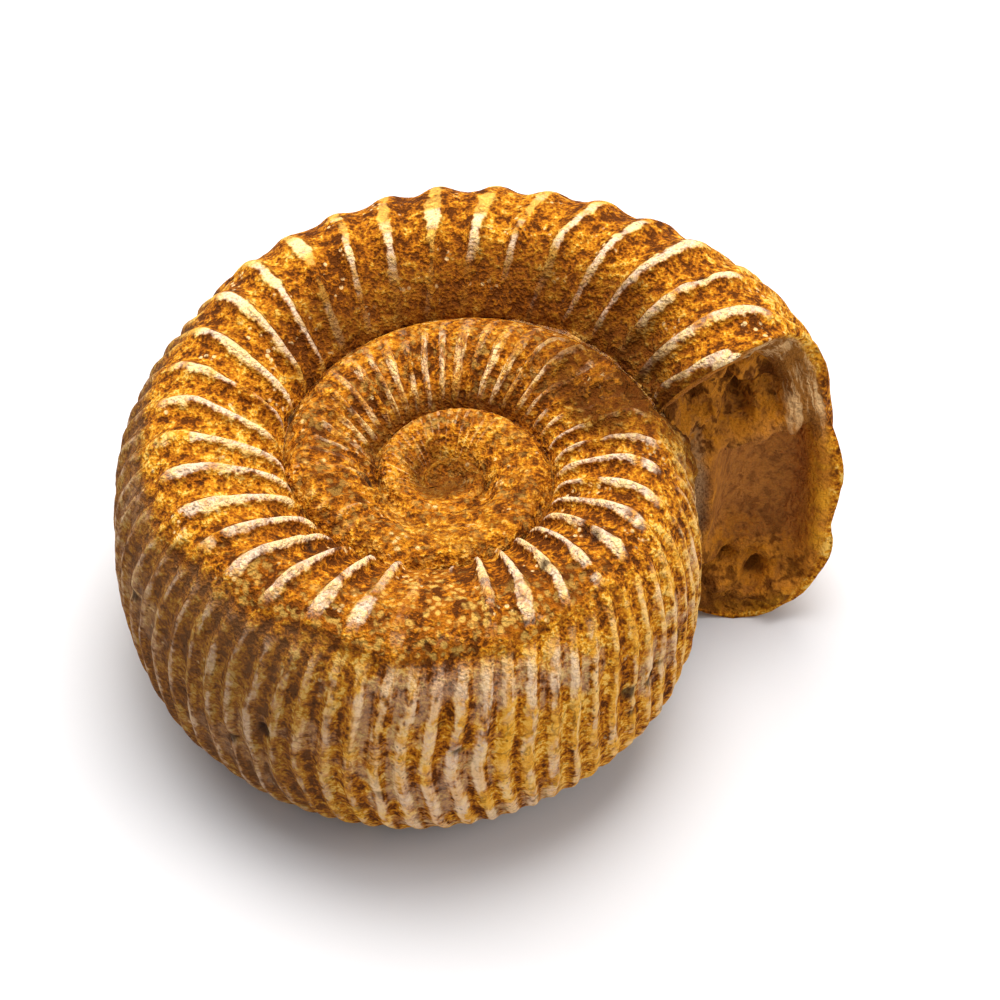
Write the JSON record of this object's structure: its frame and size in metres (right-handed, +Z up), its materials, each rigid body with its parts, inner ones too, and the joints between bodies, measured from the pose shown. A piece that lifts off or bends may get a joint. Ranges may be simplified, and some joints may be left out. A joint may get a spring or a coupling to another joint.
{
  "type": "ammonite fossil",
  "caption": "Stout ribbed coil of ochre stone with a shallow dish in the middle of each flank and a broken, hollowed end, lying on its flank.",
  "frame": {"origin": "middle of the bounding box, on the surface that the fossil lies on", "axes": "+Z up, square to the surface; the broken end of the coil points to -Y on the +X side, and the upper flank faces +Z"},
  "size_m": [0.0616, 0.057, 0.0331],
  "materials": {
    "ochre_stone": "matt, rough fossil stone in ochre, rust and cream, with pale rib crests and dark pits"
  },
  "bodies": {
    "root": {"ammonite": "ochre_stone"}
  },
  "joints": []
}
